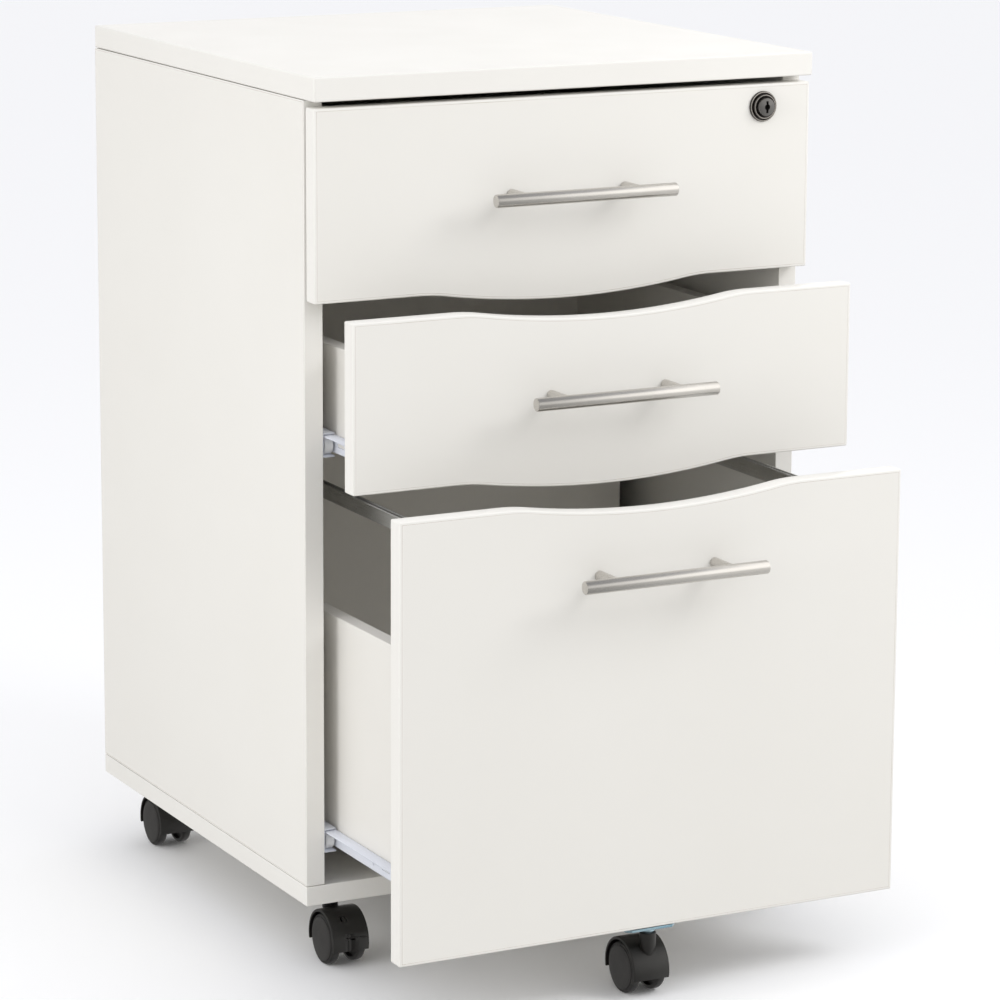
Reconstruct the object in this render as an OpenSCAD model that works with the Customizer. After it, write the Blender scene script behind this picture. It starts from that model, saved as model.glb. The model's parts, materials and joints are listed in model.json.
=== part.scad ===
// Rolling pedestal cabinet: a board carcass with three drawers on roller runners, a gang lock and
// five twin-wheel casters. Millimetres. X is to the right, +Y to the back, Z up from the floor.
// The origin is on the floor, in the middle of the box that the cabinet fills with its drawers as set below.

/* [Carcass] */
// Width of the carcass over its side panels
body_w = 420; // [410:5:450]
// Depth of the side and bottom panels
body_d = 406; // [406:1:460]
// Thickness of the side, bottom and back panels
board_t = 15; // [15:1:16]
// Thickness of the top panel
top_t = 18; // [16:1:25]
// How far the top panel stands out over the front edges
top_overhang = 19; // [17:1:25]

/* [Drawer fronts] */
// Height of the upper drawer's front
upper_front_h = 143; // [140:0.5:160]
// Height of the middle drawer's front
middle_front_h = 126; // [120:1:150]
// Height of the lower drawer's front
lower_front_h = 328; // [310:1:350]
// Thickness of the fronts
front_t = 15; // [15:1:18]
// Gap between one front and the next
front_gap = 4; // [3:0.5:5]
// Gap between the upper front and the top panel
top_gap = 5; // [4:0.5:7]
// How far the fronts stay off the carcass when closed
front_off = 1.5; // [1:0.5:2]
// How much narrower the fronts are than the carcass
front_trim = 2; // [2:1:4]
// Half the width of the arc in the edge between two fronts
arc_half_w = 112; // [90:1:130]
// Depth of that arc
arc_depth = 9.6; // [6:0.2:12]
// Radius with which the arc runs into the straight edge
arc_blend_r = 150; // [80:10:220]

/* [Drawer positions] */
// How far the upper drawer is open
upper_open = 0; // [0:1:200]
// How far the middle drawer is open
middle_open = 65; // [0:1:200]
// How far the lower drawer is open
lower_open = 141; // [20:1:200]

/* [Drawer boxes] */
// Thickness of the box sides and backs
box_t = 12; // [12:1:13]
// Length of the boxes
box_l = 360; // [352:1:370]
// Room between a box side and the side panel, which the runners fill
runner_room = 12.5; // [12.5:0.1:13]
// Height of the sides of the upper and middle boxes
shallow_side_h = 79; // [60:1:80]
// Height of the sides of the lower box
deep_side_h = 178; // [150:1:200]
// Height of the bottom of a runner over the bottom edge of a shallow front
shallow_rise = 13.5; // [10:0.5:16]
// The same for the lower drawer
deep_rise = 41.5; // [30:0.5:50]

/* [Handles] */
// Diameter of the handle bar
bar_d = 10; // [8:1:12]
// Length of the handle bar
bar_l = 152; // [140:1:180]
// Diameter of the two posts
post_d = 8; // [7:1:9]
// Distance between the posts
post_pitch = 96; // [64:32:128]
// Distance from the front's face to the middle of the bar
bar_off = 29; // [25:1:32]

/* [Casters] */
// Diameter of the wheels
wheel_d = 39; // [37:1:39]
// Width of one wheel
wheel_w = 8; // [7:0.1:8]
// Height from the floor to the underside of the bottom panel
caster_h = 55.5; // [54:0.5:58]
// Distance between a caster's swivel axis and its axle
caster_trail = 15.5; // [14:0.5:17]

/* [Hidden] */
$fn = 64;
arc_fn = 720;
loose = 0.05;    // radial room round a turning shaft
through = 1;     // how far a cut reaches past the face that it starts from

half_w = body_w / 2;
inner_w = half_w - board_t;
base_z = caster_h;
side_z = base_z + board_t;
fronts_h = lower_front_h + middle_front_h + upper_front_h + 2 * front_gap;
top_z = base_z + fronts_h + top_gap;
half_front = half_w - front_trim / 2;
back_inset = 1;

// The drawers, from the top down
DRAWERS = ["upper", "middle", "lower"];
front_h = [upper_front_h, middle_front_h, lower_front_h];
front_z = [base_z + lower_front_h + middle_front_h + 2 * front_gap, base_z + lower_front_h + front_gap, base_z];
open_by = [upper_open, middle_open, lower_open];
runner_z = front_z + [shallow_rise, shallow_rise, deep_rise];
side_top_h = [shallow_side_h, shallow_side_h, deep_side_h];
handle_z = [
    front_z[0] + upper_front_h / 2, front_z[1] + middle_front_h / 2 - 2, front_z[2] + lower_front_h - 55
];

// Drawer box
box_x = inner_w - runner_room;
sheet_t = 1.2;
bottom_t = 5;
bottom_up = 10;
bottom_groove = 5;

// Roller runners
runner_l = 350;
runner_start = 2;
lip_in = 10;        // how far the drawer member's lip reaches under the box side
channel_reach = 10.4;
slot_size = [14, 3.2];
slot_y = [52, 180, 290];
cross_slot_size = [2.6, 5];
cross_slot_y = [78, 206, 316];
slot_up = 7;
flange_h = 14.5;
roller_d = 14;
roller_x = [inner_w - 9.8, inner_w - 2.8];
roller_up = flange_h - sheet_t - roller_d / 2 - loose;
front_roller_y = 9.5;
rear_roller_y = 341;
roller_pin_d = 4;
roller_head_d = 6;
roller_head_t = 0.8;
roller_head_gap = 0.1;
roller_clear = 1.5;   // between the rear roller and the flange that stops before it
member_gap = 0.8;     // between the drawer member and the channel round it
channel_low = -sheet_t - member_gap;
channel_high = flange_h + member_gap + sheet_t;

// File rails of the lower drawer
rail_x = 166;
rail_w = 6;
rail_h = 11.5;
rail_z = base_z + lower_front_h - 28;

// Knock-down fittings
cam_d = 15;
cam_deep = 12;
cam_inset = 34;
cam_y = [60, body_d - 60];
cam_bolt_d = 7;
cam_bolt_in = 10;

// Gang lock
lock_x = 167.5;
lock_z = front_z[0] + 126;
ring_d = 23.4;
ring_out = 2.2;
collar_d = 19;
collar_out = 4.2;
lock_chamfer = 1;
barrel_d = 16;
barrel_in = 1.2;
lock_nut_d = 24;
lock_nut_t = 2;
plug_d = 13.6;
plug_out = 7.5;
keyhole = [1.9, 9.4, 5];   // width, height and depth
keyhole_hub_d = 4.6;
crank_r = 6;
crank_y = [1.35, 2.4];
crank_pin_d = 3.6;
crank_pin_end = 8;
crank_pin_room = 0.3;
crank_turn = 90;
groove_y = [14, 32.5];
groove_deep = 6;
groove_z = base_z + 45;
bar_y = [16, 30];
bar_x = [inner_w + 2.5, inner_w + 5.5];
bar_z = [base_z + 50, base_z + 597];
bar_lift = 2 * crank_r * sin(crank_turn / 2);
guide_z = [base_z + 130, base_z + 330, base_z + 500];
guide_d = 4;
driver_z = [base_z + 572, base_z + 598];
driver_y = [3.2, 4.7];
catch_up = 50;
catch_d = 5;
catch_out = 6;
catch_shank_d = 3;
catch_shank_l = 8.5;
catch_y = 25.3;
finger_h = 8;
finger_y = [bar_y[0] + 2, bar_y[0] + 6];
finger_gap = 1;

// Screws of the handles and of the plate under the lower front
handle_screw_d = 4;
handle_screw_l = 10;
handle_head_d = 8;
handle_head_t = 2.4;
plate_screw_d = 3.4;
plate_screw_l = 12;
plate_head_d = 6.4;
plate_head_t = 1.4;
bore_room = 0.2;   // room round a screw in board
end_room = 0.5;    // room past the end of a screw in its bore

// Casters: name, x and y of the swivel axis, whether it stands under the lower drawer, and the way it trails
stem_x = 172.5;
CASTERS = [
    ["front_left", -stem_x, 39, false, -1],
    ["front_right", stem_x, 39, false, -1],
    ["rear_left", -stem_x, body_d - 28, false, -1],
    ["rear_right", stem_x, body_d - 28, false, -1],
    ["middle", 0, -front_off - front_t / 2 - lower_open, true, 1]
];
wheel_r = wheel_d / 2;
wheel_in = 7.5;
wheel_out = wheel_in + wheel_w;
hood_r = 23.3;
hood_t = 2.2;
hood_below = 5;   // how far the mudguard reaches below the axle
hood_half_w = 15;
web_half_w = 6.5;
boss_d = 12.4;
boss_top = caster_h - 5.3;
boss_cone_z = [8, 20];   // heights over the axle between which the boss tapers
stem_d = 8;
stem_low = caster_h - 24;
neck_d = 11;
stem_in = 12;
axle_d = 5;
axle_half_l = 13;
plate_l = 42;
plate_w = 14;
plate_t = 2.5;
dome_d = 10.5;
plate_screw_x = 15;
plate_corner = 4;
plate_bore_d = 4.2;
dome_low = boss_top + 0.3;
tread_chamfer = 1.2;
cover_chamfer = [3, 1.6, 2, 0.5];   // how far its two steps go in and down

// The box that the cabinet fills has its middle on the Y axis
frame_y = (front_off + front_t + bar_off + bar_d / 2 + lower_open - body_d) / 2;

DRAWER_PARTS = [
    "front", "left_side", "right_side", "back", "bottom", "runners", "rear_rollers", "handle", "screws"
];

board_white = [0.93, 0.92, 0.9];
runner_white = [0.92, 0.93, 0.96];
roller_white = [0.88, 0.88, 0.88];
stainless = [0.72, 0.72, 0.71];
raw_aluminium = [0.78, 0.79, 0.8];
lock_black = [0.16, 0.15, 0.14];
nylon_black = [0.06, 0.06, 0.06];
zinc_blue = [0.7, 0.78, 0.82];

// A box from its low corner to its high corner
module block(low, high) translate(low) cube(high - low);

// Round bars along X, Y and Z, between two places on that axis
module bar_along_x(d, x, y, z) translate([x[0], y, z]) rotate([0, 90, 0]) cylinder(d = d, h = x[1] - x[0]);
module bar_along_y(d, x, y, z) translate([x, y[1], z]) rotate([90, 0, 0]) cylinder(d = d, h = y[1] - y[0]);
module bar_along_z(d, x, y, z) translate([x, y, z[0]]) cylinder(d = d, h = z[1] - z[0]);

// The same shape at the left and at the right
module both_sides() {
    children();
    mirror([1, 0, 0]) children();
}

// Cabinet coordinates, with Y = 0 at the front edges of the side panels, brought into the part's frame
module placed() translate([0, frame_y, 0]) children();

// A piece of drawer i, modelled closed
module on_drawer(i) translate([0, -open_by[i], 0]) placed() children();

// ---- Carcass ----

module cam_bolt_bores(low_z, high_z) {
    both_sides() for (y = cam_y)
        bar_along_z(cam_bolt_d + 2 * loose, half_w - board_t / 2, y, [low_z, high_z]);
}

module top_panel() placed() color(board_white) difference() {
    block([-half_w, -top_overhang, top_z], [half_w, body_d, top_z + top_t]);
    cam_bolt_bores(top_z - 1, top_z + cam_bolt_in + loose);
}

module bottom_panel() placed() color(board_white) difference() {
    block([-half_w, 0, base_z], [half_w, body_d, side_z]);
    cam_bolt_bores(side_z - cam_bolt_in - loose, side_z + 1);
    for (c = CASTERS) if (!c[3])
        bar_along_z(stem_d + 2 * loose, c[1], c[2], [base_z - 1, base_z + stem_in + loose]);
}

module side_panel_blank() difference() {
    block([inner_w, 0, side_z], [half_w, body_d, top_z]);
    for (y = cam_y) {
        for (z = [side_z + cam_inset, top_z - cam_inset])
            bar_along_x(cam_d + 2 * loose, [inner_w - 1, inner_w + cam_deep + loose], y, z);
        bar_along_z(cam_bolt_d + 2 * loose, half_w - board_t / 2, y, [side_z - 1, side_z + cam_inset]);
        bar_along_z(cam_bolt_d + 2 * loose, half_w - board_t / 2, y, [top_z - cam_inset, top_z + 1]);
    }
}

module left_side_panel() placed() color(board_white) mirror([1, 0, 0]) side_panel_blank();

module right_side_panel() placed() color(board_white) difference() {
    side_panel_blank();
    block([inner_w - 1, groove_y[0], groove_z], [inner_w + groove_deep, groove_y[1], top_z + 1]);
    for (z = guide_z)
        bar_along_x(guide_d + 2 * loose, [inner_w, half_w - 2], (bar_y[0] + bar_y[1]) / 2, z);
}

module back_panel() placed() color(board_white)
    block([-inner_w, body_d - back_inset - board_t, side_z], [inner_w, body_d - back_inset, top_z]);

module cam_and_bolt(cam_z, joint_z) {
    toward = sign(joint_z - cam_z);
    ends = [cam_z + toward * (cam_d / 2 + 0.2), joint_z + toward * cam_bolt_in];
    for (y = cam_y) {
        bar_along_x(cam_d, [inner_w + 0.3, inner_w + cam_deep], y, cam_z);
        bar_along_z(cam_bolt_d, half_w - board_t / 2, y, [min(ends), max(ends)]);
    }
}

module guide_screw(z) {
    y = (bar_y[0] + bar_y[1]) / 2;
    bar_along_x(guide_d, [bar_x[0] - 0.3, half_w - 3], y, z);
    bar_along_x(2 * guide_d, [inner_w + 1, bar_x[0] - 0.2], y, z);
}

module panel_fittings() placed() color(stainless) {
    both_sides() {
        cam_and_bolt(side_z + cam_inset, side_z);
        cam_and_bolt(top_z - cam_inset, top_z);
    }
    for (z = guide_z) guide_screw(z);
}

// ---- Runners ----

// Channel on the side panel: web, two flanges, and the pin of the front roller
module cabinet_runner(z) {
    y = [runner_start, runner_start + runner_l];
    low = z + channel_low;
    high = z + channel_high;
    lip_x = inner_w - channel_reach;
    block([inner_w - sheet_t, y[0], low], [inner_w, y[1], high]);
    block([lip_x, y[0], low], [inner_w, y[1], low + sheet_t]);
    block([lip_x, y[0], high - sheet_t], [inner_w, y[1], high]);
    head_x = roller_x[0] - roller_head_gap;
    bar_along_x(roller_pin_d, [head_x - roller_head_t / 2, inner_w - sheet_t], front_roller_y, z + roller_up);
    bar_along_x(roller_head_d, [head_x - roller_head_t, head_x], front_roller_y, z + roller_up);
}

module cabinet_runners(i) placed() color(runner_white) both_sides() cabinet_runner(runner_z[i]);

module roller(y, z) difference() {
    bar_along_x(roller_d, roller_x, y, z);
    bar_along_x(roller_pin_d + 2 * loose, [roller_x[0] - through, roller_x[1] + through], y, z);
}

module front_rollers(i) placed() color(roller_white) both_sides() roller(front_roller_y, runner_z[i] + roller_up);

module rear_rollers(i) on_drawer(i) color(roller_white)
    both_sides() roller(rear_roller_y, runner_z[i] + roller_up);

module web_slot(y, z, size)
    block([box_x - through, y, z - size[1] / 2], [box_x + sheet_t + through, y + size[0], z + size[1] / 2]);

// Drawer member: lip under the box side, web, flange that rides on the front roller, pin of the rear roller
module drawer_runner(z) {
    y = [-front_off, -front_off + runner_l];
    flange_end = rear_roller_y - roller_d / 2 - roller_clear;
    flange_out = inner_w - sheet_t - member_gap;
    slot_z = z + slot_up;
    head_x = roller_x[1] + roller_head_gap;
    difference() {
        union() {
            block([box_x, y[0], z], [box_x + sheet_t, y[1], z + flange_h]);
            block([box_x - lip_in, y[0], z], [box_x + sheet_t, y[1], z + sheet_t]);
            block([box_x, y[0], z + flange_h - sheet_t], [flange_out, flange_end, z + flange_h]);
        }
        for (at = slot_y) web_slot(at, slot_z, slot_size);
        for (at = cross_slot_y) web_slot(at, slot_z, cross_slot_size);
    }
    bar_along_x(roller_pin_d, [box_x, head_x + roller_head_t / 2], rear_roller_y, z + roller_up);
    bar_along_x(roller_head_d, [head_x, head_x + roller_head_t], rear_roller_y, z + roller_up);
}

module drawer_runners(i) on_drawer(i) color(runner_white) both_sides() drawer_runner(runner_z[i]);

// ---- Drawer fronts and boxes ----

// The curve between two fronts, given by the upper front's bottom edge: a circle in the middle, and two small
// circles below the edge that lead into it. The lower front's edge has the same middles, front_gap further down.
arc_r = (arc_half_w * arc_half_w + arc_depth * arc_depth) / (2 * arc_depth);
blend_x = sqrt(pow(arc_r + arc_blend_r, 2) - pow(arc_r + arc_blend_r - arc_depth, 2));

// What lies above the curve, between the straight edge and the circles, with the curve moved down by drop
module curve_fill(edge_z, drop) {
    middle_z = edge_z + arc_r - arc_depth;
    r = arc_r + drop;
    meet = r / (arc_r + arc_blend_r) * [blend_x, arc_depth - arc_r - arc_blend_r];
    intersection() {
        translate([0, middle_z]) circle(r = r, $fn = arc_fn);
        translate([-meet[0], middle_z - r]) square([2 * meet[0], r - arc_r + 2 * arc_depth]);
    }
    for (side = [-1, 1]) scale([side, 1]) difference() {
        translate([meet[0] - 1, middle_z + meet[1]])
            square([blend_x - meet[0] + 1, edge_z - drop - middle_z - meet[1] + arc_depth]);
        translate([blend_x, edge_z - arc_blend_r]) circle(r = arc_blend_r - drop, $fn = arc_fn);
    }
}

module front_outline(i) difference() {
    union() {
        translate([-half_front, front_z[i]]) square([2 * half_front, front_h[i]]);
        if (i < 2) curve_fill(front_z[i], 0);
    }
    if (i > 0) curve_fill(front_z[i - 1], front_gap);
}

module drawer_front(i) on_drawer(i) color(board_white) difference() {
    translate([0, -front_off, 0]) rotate([90, 0, 0]) linear_extrude(front_t) front_outline(i);
    for (x = [-post_pitch / 2, post_pitch / 2])
        bar_along_y(handle_screw_d + 2 * bore_room, x, [-front_off - front_t - through, 0], handle_z[i]);
    if (i == 0)
        bar_along_y(barrel_d + 2 * loose, lock_x, [-front_off - front_t - through, 0], lock_z);
    if (i == 2) for (x = [-plate_screw_x, plate_screw_x])
        bar_along_z(plate_screw_d + 2 * bore_room, x, -front_off - front_t / 2,
                    [base_z - through, base_z + plate_screw_l + 1]);
}

// Box side with the groove that holds the drawer bottom
module box_side(i, catch_bore) {
    z = runner_z[i] + sheet_t;
    bottom_z = z + bottom_up - loose;
    difference() {
        block([box_x - box_t, -front_off, z], [box_x, -front_off + box_l, z + side_top_h[i]]);
        block([box_x - box_t - 1, -front_off - 1, bottom_z],
              [box_x - box_t + bottom_groove + loose, box_l, bottom_z + bottom_t + 2 * loose]);
        if (catch_bore)
            bar_along_x(catch_shank_d + 2 * loose, [box_x - catch_shank_l - end_room, box_x + through],
                        catch_y, runner_z[i] + catch_up);
    }
}

module drawer_left_side(i) on_drawer(i) color(board_white) mirror([1, 0, 0]) box_side(i, false);

module drawer_right_side(i) on_drawer(i) color(board_white) box_side(i, true);

// The lower drawer's back rises to carry the file rails
module drawer_back(i) on_drawer(i) color(board_white) {
    z = runner_z[i] + sheet_t + bottom_up + bottom_t;
    high = i == 2 ? rail_z + rail_h : runner_z[i] + sheet_t + side_top_h[i];
    block([box_t - box_x, box_l - front_off - box_t, z], [box_x - box_t, box_l - front_off, high]);
}

module drawer_bottom(i) on_drawer(i) color(board_white) {
    x = box_x - box_t + bottom_groove;
    z = runner_z[i] + sheet_t + bottom_up;
    block([-x, -front_off, z], [x, box_l - front_off, z + bottom_t]);
}

module drawer_handle(i) on_drawer(i) color(stainless) {
    face = -front_off - front_t;
    difference() {
        union() {
            bar_along_x(bar_d, [-bar_l / 2, bar_l / 2], face - bar_off, handle_z[i]);
            for (x = [-post_pitch / 2, post_pitch / 2])
                bar_along_y(post_d, x, [face - bar_off, face], handle_z[i]);
        }
        for (x = [-post_pitch / 2, post_pitch / 2])
            bar_along_y(handle_screw_d + 2 * loose, x, [face - handle_screw_l - end_room, face + through],
                        handle_z[i]);
    }
}

module handle_screw(x, z) {
    bar_along_y(handle_screw_d, x, [-front_off - front_t - handle_screw_l, -front_off + handle_head_t / 2], z);
    bar_along_y(handle_head_d, x, [-front_off, -front_off + handle_head_t], z);
}

module lock_nut() difference() {
    translate([lock_x, -front_off + lock_nut_t, lock_z]) rotate([90, 0, 0])
        cylinder(d = lock_nut_d, h = lock_nut_t, $fn = 6);
    bar_along_y(barrel_d + 2 * loose, lock_x, [-front_off - through, lock_nut_t], lock_z);
}

module plate_screw(x) {
    y = -front_off - front_t / 2;
    bar_along_z(plate_screw_d, x, y, [base_z - plate_t - plate_head_t / 2, base_z + plate_screw_l]);
    bar_along_z(plate_head_d, x, y, [base_z - plate_t - plate_head_t, base_z - plate_t]);
}

// Handle screws, the pin that the locking bar catches, and the nut or the plate screws that the drawer has
module drawer_screws(i) on_drawer(i) color(stainless) {
    for (x = [-post_pitch / 2, post_pitch / 2]) handle_screw(x, handle_z[i]);
    bar_along_x(catch_shank_d, [box_x - catch_shank_l, box_x + catch_out / 2], catch_y, runner_z[i] + catch_up);
    bar_along_x(catch_d, [box_x, box_x + catch_out], catch_y, runner_z[i] + catch_up);
    if (i == 0) lock_nut();
    if (i == 2) for (x = [-plate_screw_x, plate_screw_x]) plate_screw(x);
}

module file_rails() on_drawer(2) color(raw_aluminium) both_sides() difference() {
    y = [-front_off, box_l - front_off - box_t];
    block([rail_x - rail_w / 2, y[0], rail_z], [rail_x + rail_w / 2, y[1], rail_z + rail_h]);
    block([rail_x - 1, y[0] - 1, rail_z + rail_h - 3], [rail_x + 1, y[1] + 1, rail_z + rail_h + 1]);
}

// ---- Gang lock ----

module lock_housing() on_drawer(0) color(lock_black) {
    face = -front_off - front_t;
    translate([lock_x, 0, lock_z]) rotate([90, 0, 0]) rotate_extrude() polygon([
        [plug_d / 2 + loose, -barrel_in], [barrel_d / 2, -barrel_in], [barrel_d / 2, -face],
        [ring_d / 2, -face], [ring_d / 2, ring_out - lock_chamfer - face],
        [ring_d / 2 - lock_chamfer, ring_out - face], [collar_d / 2, ring_out - face],
        [collar_d / 2, collar_out - lock_chamfer - face], [collar_d / 2 - lock_chamfer, collar_out - face],
        [plug_d / 2 + loose, collar_out - face]
    ]);
}

// Plug with its keyhole, and the crank and eccentric pin on its back
module lock_plug() on_drawer(0) color(lock_black) {
    face = -front_off - front_t - plug_out;
    pin_turn = 90 + crank_turn / 2;
    difference() {
        bar_along_y(plug_d, lock_x, [face, crank_y[0]], lock_z);
        bar_along_y(keyhole_hub_d, lock_x, [face - through, face + keyhole[2]], lock_z);
        block([lock_x - keyhole[0] / 2, face - through, lock_z - keyhole[1] / 2],
              [lock_x + keyhole[0] / 2, face + keyhole[2], lock_z + keyhole[1] / 2]);
    }
    bar_along_y(2 * crank_r + crank_pin_d, lock_x, crank_y, lock_z);
    bar_along_y(crank_pin_d, lock_x - crank_r * sin(pin_turn), [crank_y[0], crank_pin_end],
                lock_z + crank_r * cos(pin_turn));
}

// Bar in the side panel's groove, its catching fingers, and the driver plate that the eccentric pin lifts
module lock_bar() placed() color(raw_aluminium) {
    middle_y = (bar_y[0] + bar_y[1]) / 2;
    side_x = [inner_w - 6, inner_w - 4.5];
    pin_z = lock_z - bar_lift / 2;
    slot_w = guide_d / 2 + crank_pin_room;
    pin_room = crank_pin_d / 2 + crank_pin_room;
    difference() {
        block([bar_x[0], bar_y[0], bar_z[0]], [bar_x[1], bar_y[1], bar_z[1]]);
        for (z = guide_z)
            block([bar_x[0] - through, middle_y - slot_w, z - bar_lift - guide_d],
                  [bar_x[1] + through, middle_y + slot_w, z + guide_d]);
    }
    for (z = runner_z) {
        finger_top = z + catch_up - catch_d / 2 - finger_gap;
        block([box_x + 3.5, finger_y[0], finger_top - finger_h], [bar_x[0], finger_y[1], finger_top]);
    }
    block([side_x[0], bar_y[0] + 1, driver_z[0] + 6], [bar_x[0], bar_y[1] - 3, driver_z[0] + 18]);
    block([side_x[0], driver_y[0], driver_z[0]], [side_x[1], bar_y[1] - 3, driver_z[1]]);
    difference() {
        block([lock_x - 12.5, driver_y[0], driver_z[0]], [side_x[1], driver_y[1], driver_z[1]]);
        block([lock_x - crank_r - pin_room - crank_pin_room, driver_y[0] - through, pin_z - pin_room],
              [lock_x - crank_r * cos(crank_turn / 2) + pin_room + crank_pin_room,
               driver_y[1] + through, pin_z + pin_room]);
    }
}

// ---- Casters ----

// Where a caster stands: its swivel axis, with the axle trailing towards local +Y
module at_caster(c) placed() translate([c[1], c[2], 0]) rotate([0, 0, c[4] < 0 ? 180 : 0]) children();

// Necks and pins of the four corner casters
module caster_stems() color(nylon_black) for (c = CASTERS) if (!c[3]) at_caster(c) {
    bar_along_z(stem_d, 0, 0, [stem_low, caster_h + stem_in]);
    bar_along_z(neck_d, 0, 0, [dome_low, caster_h]);
}

module anti_tip_plate() color(zinc_blue) at_caster(CASTERS[4]) difference() {
    union() {
        translate([0, 0, caster_h - plate_t]) linear_extrude(plate_t) polygon([
            for (s = [[1, 1], [-1, 1], [-1, -1], [1, -1]])
                for (k = s[0] * s[1] > 0 ? [0, 1] : [1, 0])
                    [s[0] * (plate_l / 2 - k * plate_corner), s[1] * (plate_w / 2 - (1 - k) * plate_corner)]
        ]);
        bar_along_z(dome_d, 0, 0, [dome_low, caster_h - plate_t / 2]);
        bar_along_z(stem_d, 0, 0, [stem_low, caster_h - plate_t]);
    }
    for (x = [-plate_screw_x, plate_screw_x])
        bar_along_z(plate_bore_d, x, 0, [caster_h - plate_t - through, caster_h + through]);
}

// Mudguard over both wheels, web between them, and boss round the stem
module hood_shell() {
    y = caster_trail;
    difference() {
        bar_along_x(2 * hood_r, [-hood_half_w, hood_half_w], y, wheel_r);
        bar_along_x(2 * (hood_r - hood_t), [-hood_half_w - 1, hood_half_w + 1], y, wheel_r);
        block([-hood_half_w - 1, y - hood_r - 1, -5], [hood_half_w + 1, y + hood_r + 1, wheel_r - hood_below]);
    }
    intersection() {
        bar_along_x(2 * (hood_r - hood_t) + 1, [-web_half_w, web_half_w], y, wheel_r);
        block([-web_half_w, y - hood_r, wheel_r - hood_below], [web_half_w, y + hood_r, wheel_r + hood_r]);
    }
    bar_along_z(boss_d, 0, 0, [wheel_r + boss_cone_z[1], boss_top]);
    translate([0, 0, wheel_r + boss_cone_z[0]])
        cylinder(d1 = boss_d / 2, d2 = boss_d, h = boss_cone_z[1] - boss_cone_z[0]);
}

module caster_hood(c) color(nylon_black) at_caster(c) {
    difference() {
        hood_shell();
        bar_along_z(stem_d + 2 * loose, 0, 0, [stem_low - 0.3, boss_top + 1]);
        bar_along_x(axle_d + 0.04, [-web_half_w - 1, web_half_w + 1], caster_trail, wheel_r);
    }
    bar_along_x(axle_d, [-axle_half_l, axle_half_l], caster_trail, wheel_r);
}

// One wheel with a blind bore: rounded tread edges as chamfers, and a shallow disc cover on the outside
module caster_wheel(c, side) color(nylon_black) placed()
    translate([c[1], c[2] + c[4] * caster_trail, wheel_r]) rotate([0, side * 90, 0]) rotate_extrude() polygon([
        [axle_d / 2 + loose, wheel_in], [wheel_r - tread_chamfer, wheel_in], [wheel_r, wheel_in + tread_chamfer],
        [wheel_r, wheel_out - cover_chamfer[2]], [wheel_r - cover_chamfer[1], wheel_out - cover_chamfer[3]],
        [wheel_r - cover_chamfer[0], wheel_out],
        [0, wheel_out], [0, axle_half_l + 0.2], [axle_d / 2 + loose, axle_half_l + 0.2]
    ]);

// ---- Nodes ----

top_panel();
left_side_panel();
right_side_panel();
bottom_panel();
back_panel();
panel_fittings();
caster_stems();
lock_bar();
lock_plug();
lock_housing();
file_rails();
anti_tip_plate();

for (i = [0:2]) {
    d = DRAWERS[i];
    cabinet_runners(i);
    front_rollers(i);
    drawer_front(i);
    drawer_left_side(i);
    drawer_right_side(i);
    drawer_back(i);
    drawer_bottom(i);
    drawer_runners(i);
    rear_rollers(i);
    drawer_handle(i);
    drawer_screws(i);
}

for (c = CASTERS) {
    caster_hood(c);
    caster_wheel(c, -1);
    caster_wheel(c, 1);
}
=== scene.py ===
import json
import math

import bmesh
import bpy
from mathutils import Matrix, Vector


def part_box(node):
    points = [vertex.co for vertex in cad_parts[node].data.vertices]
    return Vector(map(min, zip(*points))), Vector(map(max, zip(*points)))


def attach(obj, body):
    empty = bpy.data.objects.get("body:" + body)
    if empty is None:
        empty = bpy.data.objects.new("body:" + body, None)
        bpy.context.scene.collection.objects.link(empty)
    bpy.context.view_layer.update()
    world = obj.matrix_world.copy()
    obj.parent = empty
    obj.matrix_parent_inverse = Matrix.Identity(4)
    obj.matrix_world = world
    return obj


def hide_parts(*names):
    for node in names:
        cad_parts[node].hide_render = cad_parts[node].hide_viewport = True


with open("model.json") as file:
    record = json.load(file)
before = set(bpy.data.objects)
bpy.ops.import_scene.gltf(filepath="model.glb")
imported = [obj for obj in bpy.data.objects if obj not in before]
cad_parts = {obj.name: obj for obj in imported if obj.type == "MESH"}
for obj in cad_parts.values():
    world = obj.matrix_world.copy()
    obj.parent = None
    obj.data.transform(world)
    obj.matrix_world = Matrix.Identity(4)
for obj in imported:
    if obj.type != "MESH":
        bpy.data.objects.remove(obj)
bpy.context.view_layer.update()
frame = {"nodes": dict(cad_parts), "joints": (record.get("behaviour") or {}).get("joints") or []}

# ---- Studio ----
# A plain pale floor that runs out of sight in white surroundings, with a soft lamp high at the right front and a
# broader one far off at the left. The camera stands at the left front, a little above the cabinet.
scene = bpy.context.scene
scene.view_settings.view_transform = "Standard"
X, Y, Z = Vector((1, 0, 0)), Vector((0, 1, 0)), Vector((0, 0, 1))

lens = bpy.data.cameras.new("camera")
lens.sensor_width = 36
lens.lens = 144.65
lens.shift_x, lens.shift_y = 0.05, -0.08
camera = bpy.data.objects.new("camera", lens)
scene.collection.objects.link(camera)
scene.camera = camera
turn, drop, roll = math.radians(-26.69), math.radians(11.24), math.radians(0.148)
ahead = Vector((-math.sin(turn) * math.cos(drop), math.cos(turn) * math.cos(drop), -math.sin(drop)))
level = Vector((math.cos(turn), math.sin(turn), 0))
upright = level.cross(ahead)
across = level * math.cos(roll) + upright * math.sin(roll)
upright = upright * math.cos(roll) - level * math.sin(roll)
camera.matrix_world = Matrix.Translation((-1.416, -2.74425, 1.0055)) @ Matrix(
    (across, upright, -ahead)).transposed().to_4x4()

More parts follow.
